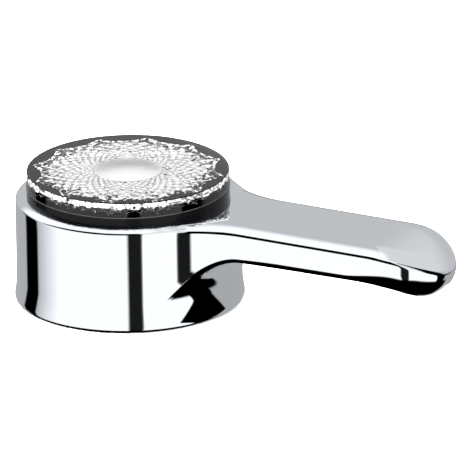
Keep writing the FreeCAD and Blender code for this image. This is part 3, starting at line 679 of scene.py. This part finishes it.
def chrome_material(finishes, sizes):
    """Bright plating with faint handling marks, over the dull, darker cast grain that is left inside: partly
    a painted shade in the bore and recess.
    """
    material, tree, shader = new_material("chrome_plate")
    place = add_node(tree, "SeparateXYZ", Vector=add_node(tree, "TexCoord").outputs["Object"])
    x, y, z = place.outputs
    from_axis = math_node(tree, "SQRT", math_node(
        tree, "ADD", math_node(tree, "MULTIPLY", x, x), math_node(tree, "MULTIPLY", y, y)))
    in_bore = between(tree, from_axis, *[sizes.bore_radius + outside for outside in BORE_SHADE_FADE])
    under_top = between(tree, z, *[sizes.cup_height - below for below in TOP_SHADE_FADE])
    # Mask of the inside, where the darker grey is partly a painted shade
    inside = math_node(tree, "MULTIPLY", in_bore, under_top)
    smear = use_group(tree, "handling_smear", smear_group, Patch_Scale=55.0, Streak_Scale=320.0)
    polish = between(tree, smear, 0.0, 1.0, finishes.chrome_gloss, finishes.chrome_smear)
    roughness = math_node(tree, "ADD", polish, math_node(tree, "MULTIPLY", inside, CAST_ROUGHNESS))
    plating = mixed(tree, smear, rgba(finishes.chrome), rgba(finishes.chrome, 0.97))
    grain = use_group(tree, "fine_grain", grain_group, Scale=1800.0)
    bump = add_node(tree, "Bump", Strength=1.0, Distance=0.00004,
                    Height=math_node(tree, "MULTIPLY", grain, inside))
    connect(tree, shader, Base_Color=mixed(tree, inside, plating, rgba(finishes.casting)),
            Roughness=roughness, Metallic=1.0, Normal=bump.outputs[0])
    return material


def plastic_material(finishes, name, tint):
    """Glossy moulding in a dark tint with a faint grain."""
    material, tree, shader = new_material(name)
    smear = use_group(tree, "handling_smear", smear_group, Patch_Scale=90.0, Streak_Scale=600.0)
    grain = use_group(tree, "fine_grain", grain_group, Scale=2600.0)
    bump = add_node(tree, "Bump", Strength=0.15, Distance=0.00003, Height=grain)
    connect(tree, shader,
            Base_Color=mixed(tree, grain, rgba(tint), rgba(tint, 1.6)),
            Roughness=between(tree, smear, 0.0, 1.0, finishes.plastic_gloss, finishes.plastic_gloss + 0.1),
            IOR=1.5, Specular_IOR_Level=0.08, Normal=bump.outputs[0])
    return material


def acrylic_material(finishes):
    """Clear acrylic, polished, with traces of handling."""
    material, tree, shader = new_material("clear_acrylic")
    smear = use_group(tree, "handling_smear", smear_group, Patch_Scale=70.0, Streak_Scale=500.0)
    connect(tree, shader,
            Base_Color=mixed(tree, smear, rgba(finishes.acrylic), rgba(finishes.acrylic, 0.99)),
            Roughness=between(tree, smear, 0.0, 1.0, 0.0, 0.012),
            IOR=1.49, Transmission_Weight=1.0)
    return material


SPARKLE_CELLS_PER_METRE = 900.0  # cells of the silver film, whose uneven tones are a painted sparkle
SPOTS_PER_METRE = 1500.0  # spots that can be bare
BARE_SHARES = (0.1, 0.6)  # share of bare spots in the middle of the star, and at its tips
BAND_COVER = 0.42  # how much smaller that share is in the band than at the tips
WINDOW_FADE = 1.06  # outer edge of the window's soft border, in window radii


def silver_material(finishes, sizes):
    """Bright metal film behind the facets: small uneven cells of painted sparkle, with dark lines of painted
    shade between them.

    More and more spots are bare towards the star's tips, so its outline is ragged, and few in the band.
    The window in the middle has no cells or spots, and its silver is darker: a painted shade. Masks over the
    square of the distance from the axis set all this apart.
    """
    material, tree, shader = new_material("silvered_facets")
    place = add_node(tree, "TexCoord").outputs["Object"]
    in_plan = add_node(tree, "VectorMath", {"operation": "MULTIPLY"}, i0=place, i1=(1.0, 1.0, 0.0)).outputs[0]
    squared = dot_product(tree, in_plan, in_plan)

    def beyond(inner, outer, *levels):
        return between(tree, squared, inner ** 2, outer ** 2, *levels)

    cut = beyond(sizes.window_radius, WINDOW_FADE * sizes.window_radius)
    cells = add_node(tree, "TexVoronoi", Vector=place, Scale=SPARKLE_CELLS_PER_METRE).outputs
    edges = add_node(tree, "TexVoronoi", {"feature": "DISTANCE_TO_EDGE"}, Vector=place, Scale=SPARKLE_CELLS_PER_METRE)
    # Dark lines along the cells' edges: painted shade between the facets
    line = math_node(tree, "MULTIPLY", between(tree, edges.outputs[0], 0.09, 0.02), cut)
    # Uneven tone of each cell: painted sparkle
    shade = math_node(tree, "MULTIPLY", between(tree, cells["Color"], 0.25, 0.75), cut)
    bump = add_node(tree, "Bump", Strength=0.25, Distance=0.0002,
                    Height=math_node(tree, "MULTIPLY", cells["Distance"], cut))
    spots = add_node(tree, "TexVoronoi", Vector=place, Scale=SPOTS_PER_METRE).outputs
    bare_share = math_node(tree, "SUBTRACT", beyond(sizes.dark_spot_start, sizes.foil_end, *BARE_SHARES),
                           beyond(sizes.foil_end, sizes.band_back, 0.0, BAND_COVER))
    bare = math_node(tree, "LESS_THAN", spots["Color"], math_node(tree, "MULTIPLY", bare_share, cut))
    tint = mixed(tree, shade, rgba(finishes.silver), rgba(finishes.silver, 0.9))
    lined = mixed(tree, line, tint, rgba(finishes.silver, 0.5))
    # The plain window gets a darker silver: painted shade
    coated = mixed(tree, cut, rgba(finishes.silver, 0.84), lined)
    connect(tree, shader,
            Base_Color=mixed(tree, bare, coated, rgba(finishes.plastic)),
            Roughness=between(tree, cut, 0.0, 1.0, 0.3, 0.07),
            Metallic=0.7, Normal=bump.outputs[0])
    return material


def steel_material(finishes):
    """Turned stainless steel: fine rings round the axis break up the gloss."""
    material, tree, shader = new_material("screw_steel")
    place = add_node(tree, "TexCoord").outputs["Object"]
    rings = add_node(tree, "TexWave", {"wave_type": "RINGS", "rings_direction": "Z"}, Vector=place,
                     Scale=900.0, Distortion=1.5, Detail=2.0)
    grain = use_group(tree, "fine_grain", grain_group, Scale=3000.0)
    bump = add_node(tree, "Bump", Strength=0.3, Distance=0.00002, Height=rings.outputs[1])
    connect(tree, shader,
            Base_Color=mixed(tree, grain, rgba(finishes.steel), rgba(finishes.steel, 1.25)),
            Roughness=between(tree, grain, 0.2, 0.8, finishes.steel_gloss - 0.06, finishes.steel_gloss + 0.1),
            Metallic=1.0, Normal=bump.outputs[0])
    return material


def ramp(tree, share_along, stops):
    """Grey level along a share from 0 to 1, through stops of share and level."""
    made = tree.nodes.new("ShaderNodeValToRGB")
    elements = made.color_ramp.elements
    while len(elements) < len(stops):
        elements.new(1.0)
    for element, (at, level) in zip(elements, stops):
        element.position = at
        element.color = (level, level, level, 1.0)
    tree.links.new(share_along, made.inputs[0])
    return made.outputs[0]


# Panels round the handle that its mirror surfaces show: degrees to the right of the camera, grey level
SIDE_PANELS = (
    (-180, 0.40), (-131, 0.40), (-128, 0.0), (-108, 0.0), (-106, 0.45), (-76, 1.0), (-2.5, 1.0),
    (-0.5, 0.01), (12.5, 0.01), (14, 1.0), (85, 1.0), (90, 0.38), (180, 0.38),
)
# Pairs are soft limits in degrees: to the right of the camera for a turn, above the horizon for a lift
GAP_LOW = -20.0  # lift where the dark gap on the right is narrowest
GAP_START = (-1.2, 44.0)  # turn where that gap starts: degrees for each degree of lift, and at the horizon
GAP_END = (1.4, 123.0)  # turn where it ends
PANEL_TOP = (-3.0, 5.0)  # lift where the panels end and the upper studio starts
PANEL_FOOT = (-30.0, -55.0)  # lift where the panels end below, and where they do behind on the right
FOOT_TURN = (105.0, 135.0)  # turn from the one foot to the other
FOOT_BLUR = -7.0  # degrees over which the panels fade to black below
BEHIND_TURN = (88, 100)  # turn to either side from the dark front to the part behind
CEILING_TURN = math.radians(-120)  # middle of the white ceiling, to the right of the camera
CEILING_LIFT = math.radians(55)  # and above the horizon
CEILING_SPREAD = (41, 29)  # degrees from that middle over which the ceiling turns white
CEILING_LEVELS = (0.5, 1.0)  # grey behind beside the ceiling, and the ceiling
GLOW_TURN = (20.0, 60.0)  # turn where a glow behind on the right starts
GLOW_LIFT = (19.0, 38.0)  # lift where it starts
GLOW_LEVELS = (0.0, 0.15)
SCREEN_LEFT = (12.0, 16.0)  # turn of the left edge of a pale screen in the dark front
SCREEN_RIGHT = (54.0, 46.0)  # turn of its right edge
SCREEN_LEVELS = (0.0, 0.8)
OVERHEAD = (70.0, 77.0)  # lift where the white light overhead starts
CLEAR_LIFT = (4.0, 28.0)  # lift over which the crystal shows more plain white
CLEAR_LEVELS = (0.5, 1.0)  # share of plain white in what it shows
PANEL_GAIN = 1.1  # brightness of a white panel
CRYSTAL_GAIN = 0.75  # extra brightness of what the crystal shows
ROOM_LIGHT = 7.0  # soft light that the floor and matt surfaces get


def studio_world(front, right):
    """Soft studio round the handle: white low panels with dark gaps, a dark front above, a white ceiling."""
    world = bpy.data.worlds.new("studio")
    world.use_nodes = True
    tree = world.node_tree
    direction = add_node(tree, "TexCoord").outputs["Generated"]
    to_right, to_front = dot_product(tree, direction, right), dot_product(tree, direction, front)
    turn = math_node(tree, "ARCTAN2", to_right, to_front)
    degrees = math_node(tree, "MULTIPLY", turn, 180 / math.pi)
    rise = math_node(tree, "ARCSINE", dot_product(tree, direction, (0.0, 0.0, 1.0)))
    lift = math_node(tree, "MULTIPLY", rise, 180 / math.pi)

    # The dark gap on the right widens upwards, from its low end
    turn_share = math_node(tree, "MULTIPLY_ADD", turn, 0.5 / math.pi, 0.5)
    sides = ramp(tree, turn_share, [((at + 180) / 360, level) for at, level in SIDE_PANELS])
    gap_lift = math_node(tree, "MAXIMUM", lift, GAP_LOW)
    past_start = math_node(tree, "SUBTRACT", degrees, math_node(tree, "MULTIPLY_ADD", gap_lift, *GAP_START))
    past_end = math_node(tree, "SUBTRACT", degrees, math_node(tree, "MULTIPLY_ADD", gap_lift, *GAP_END))
    in_gap = math_node(tree, "MULTIPLY", between(tree, past_start, -1.0, 1.0),
                       between(tree, past_end, 1.5, -1.5))
    sides = mixed(tree, in_gap, sides, BLACK)

    # Behind the handle is the ceiling, with a glow on the right, and the front has only the pale screen
    flat = math.cos(CEILING_LIFT)
    middle = (Vector(front) * math.cos(CEILING_TURN) + Vector(right) * math.sin(CEILING_TURN)) * flat
    middle.z = math.sin(CEILING_LIFT)
    spread = [math.cos(math.radians(limit)) for limit in CEILING_SPREAD]
    ceiling = between(tree, dot_product(tree, direction, middle), *spread, *CEILING_LEVELS)
    glow = math_node(tree, "MULTIPLY", between(tree, degrees, *GLOW_TURN),
                     between(tree, lift, *GLOW_LIFT, *GLOW_LEVELS))
    to_side = math_node(tree, "ABSOLUTE", turn)
    behind = between(tree, to_side, *[math.radians(limit) for limit in BEHIND_TURN])
    screen = math_node(tree, "MULTIPLY", between(tree, degrees, *SCREEN_LEFT),
                       between(tree, degrees, *SCREEN_RIGHT, *SCREEN_LEVELS))
    back = math_node(tree, "MULTIPLY", behind, math_node(tree, "ADD", ceiling, glow))
    upper = math_node(tree, "MAXIMUM", back, screen)
    panels = mixed(tree, between(tree, lift, *PANEL_TOP), sides, upper)
    panels = mixed(tree, between(tree, lift, *OVERHEAD), panels, WHITE)
    over_foot = math_node(tree, "SUBTRACT", lift, between(tree, degrees, *FOOT_TURN, *PANEL_FOOT))
    panels = mixed(tree, between(tree, over_foot, 0.0, FOOT_BLUR), panels, BLACK)

    # The crystal shows a plainer studio, and the camera and matt surfaces see plain white
    rays = add_node(tree, "LightPath").outputs
    clear = between(tree, lift, *CLEAR_LIFT, *CLEAR_LEVELS)
    through = math_node(tree, "MULTIPLY", rays["Is Transmission Ray"], clear)
    panels = mixed(tree, through, panels, WHITE)
    plain = math_node(tree, "MAXIMUM", rays["Is Camera Ray"], rays["Is Diffuse Ray"])
    gain = add_node(tree, "MapRange", i0=plain, i3=PANEL_GAIN, i4=ROOM_LIGHT).outputs[0]
    gain = math_node(tree, "MULTIPLY_ADD", rays["Is Transmission Ray"], CRYSTAL_GAIN, gain)
    connect(tree, tree.nodes["Background"], Color=mixed(tree, plain, panels, WHITE), Strength=gain)
    return world


def floor_material():
    """Matt white paper with a faint tooth."""
    material, tree, shader = new_material("white_paper")
    grain = use_group(tree, "fine_grain", grain_group, Scale=700.0)
    connect(tree, shader, Base_Color=mixed(tree, grain, (0.90, 0.90, 0.90, 1.0), (0.92, 0.92, 0.92, 1.0)),
            Roughness=0.9)
    return material


FLOOR_GAP = 0.00002  # metres between the handle and the paper
FLOOR_REACH = 8.0  # metres from the cup's axis to the sides of the paper
SENSOR_WIDTH = 36.0  # millimetres
SIGHT_END = 200.0  # metres that the camera sees


def add_floor():
    """Square of paper under the handle. It gives no mirror image, so the studio shows in the chrome."""
    level = CAD_LOW.z - FLOOR_GAP
    corners = [(x * FLOOR_REACH, y * FLOOR_REACH, level) for x, y in ((-1, -1), (1, -1), (1, 1), (-1, 1))]
    mesh = bpy.data.meshes.new("floor")
    mesh.from_pydata(corners, [], [(0, 1, 2, 3)])
    mesh.materials.append(floor_material())
    floor = bpy.data.objects.new("floor", mesh)
    bpy.context.scene.collection.objects.link(floor)
    floor.visible_glossy = False


def add_camera(studio, front, right, anchor):
    """Camera with a long lens, placed from the cup's flat top and rolled a little."""
    tilt = studio.elevation
    towards = Vector(front) * math.cos(tilt) + Vector((0.0, 0.0, math.sin(tilt)))
    level_right = Vector(right)
    level_up = towards.cross(level_right)
    lean = studio.roll
    picture_right = level_right * math.cos(lean) - level_up * math.sin(lean)
    picture_up = level_right * math.sin(lean) + level_up * math.cos(lean)
    middle = anchor + picture_right * studio.look_right - picture_up * studio.look_down
    data = bpy.data.cameras.new("camera")
    data.sensor_width = SENSOR_WIDTH
    data.lens = data.sensor_width * studio.distance / studio.frame_width
    data.clip_end = SIGHT_END
    camera = bpy.data.objects.new("camera", data)
    turned = Matrix((picture_right, picture_up, towards)).transposed().to_4x4()
    camera.matrix_world = Matrix.Translation(middle + towards * studio.distance) @ turned
    bpy.context.scene.collection.objects.link(camera)
    bpy.context.scene.camera = camera


class HANDLE_OT_lever(bpy.types.Operator):
    """Make the chromed casting: cup and lever in one piece"""
    bl_idname = "handle.lever"
    bl_label = "Lever"

    def execute(self, context):
        sizes = context.scene.handle_lever
        mesh = grid_mesh("lever", casting_surface(sizes), sizes.smooth_angle)
        material = chrome_material(context.scene.handle_finishes, sizes)
        add_object("chromed_lever", mesh, "lever_body", material)
        return {"FINISHED"}


class HANDLE_OT_cap(bpy.types.Operator):
    """Make the cap: the black carrier and the clear disc with its facets"""
    bl_idname = "handle.cap"
    bl_label = "Crystal cap"

    def execute(self, context):
        finishes = context.scene.handle_finishes
        cap = context.scene.handle_cap
        black = plastic_material(finishes, "black_plastic", finishes.plastic)
        # The bead's grey material paints a highlight line round the disc's edge
        highlight_line = plastic_material(finishes, "painted_highlight_line", finishes.highlight_line)
        silver = silver_material(finishes, cap)
        carrier = shaded_mesh("carrier", *merged_triangles("cap_base"), cap.smooth_angle)
        add_object("cap_carrier", carrier, "cap_base", black)
        bead = grid_mesh("bead", bead_rings(cap), math.pi)
        add_object("painted_highlight_bead", bead, None, highlight_line)
        band, strip = facet_band(cap)
        add_object("facet_band", grid_mesh("band", band, BAND_SMOOTH), None, silver)
        backing = grid_mesh("backing", strip, cap.smooth_angle)
        add_object("band_backing", backing, None, black)
        places, faces = merged_triangles("crystal_disc")
        disc = shaded_mesh("crystal", places, faces, cap.smooth_angle)
        add_object("crystal", disc, "crystal_disc", acrylic_material(finishes))
        foil = shaded_mesh("silver", *silvered_faces(cap, places, faces), cap.smooth_angle)
        film = add_object("facet_silver", foil, None, silver)
        film.modifiers.new("film", "SOLIDIFY").thickness = cap.foil_film
        return {"FINISHED"}


class HANDLE_OT_screw(bpy.types.Operator):
    """Make the screw under the cap"""
    bl_idname = "handle.screw"
    bl_label = "Screw"

    def execute(self, context):
        smooth = context.scene.handle_cap.smooth_angle
        mesh = shaded_mesh("screw", *merged_triangles("retaining_screw"), smooth)
        add_object("cap_screw", mesh, "retaining_screw",
                   steel_material(context.scene.handle_finishes))
        return {"FINISHED"}


class HANDLE_OT_stage(bpy.types.Operator):
    """Set the floor, the studio's light and the camera"""
    bl_idname = "handle.stage"
    bl_label = "Stage"

    def execute(self, context):
        studio = context.scene.handle_studio
        turn = studio.azimuth
        front = (math.sin(turn), -math.cos(turn), 0.0)
        right = (math.cos(turn), math.sin(turn), 0.0)
        context.scene.world = studio_world(front, right)
        context.scene.view_settings.view_transform = "Standard"
        add_floor()
        add_camera(studio, front, right, Vector((0.0, 0.0, context.scene.handle_lever.cup_height)))
        return {"FINISHED"}


class HANDLE_PT_panel(bpy.types.Panel):
    """Sidebar panel of the handle"""
    bl_label = "Mixer Handle"
    bl_idname = "HANDLE_PT_panel"
    bl_space_type = "VIEW_3D"
    bl_region_type = "UI"
    bl_category = "Handle"

    def draw(self, context):
        for operator, group in OPERATORS:
            box = self.layout.box()
            box.operator(operator)
            values = getattr(context.scene, group)
            for name in values.__annotations__:
                box.prop(values, name)


GROUPS = (
    ("handle_lever", LeverSizes),
    ("handle_cap", CapSizes),
    ("handle_finishes", Finishes),
    ("handle_studio", StudioValues),
)
OPERATORS = (
    ("handle.lever", "handle_lever"),
    ("handle.cap", "handle_cap"),
    ("handle.screw", "handle_finishes"),
    ("handle.stage", "handle_studio"),
)
CLASSES = (HANDLE_OT_lever, HANDLE_OT_cap, HANDLE_OT_screw, HANDLE_OT_stage, HANDLE_PT_panel)


def register():
    for attribute, group in GROUPS:
        bpy.utils.register_class(group)
        setattr(bpy.types.Scene, attribute, PointerProperty(type=group))
    for item in CLASSES:
        bpy.utils.register_class(item)


def unregister():
    for item in reversed(CLASSES):
        bpy.utils.unregister_class(item)
    for attribute, group in reversed(GROUPS):
        delattr(bpy.types.Scene, attribute)
        bpy.utils.unregister_class(group)


def main():
    register()
    bpy.ops.handle.lever()
    bpy.ops.handle.cap()
    bpy.ops.handle.screw()
    bpy.ops.handle.stage()


if __name__ == "__main__":
    main()
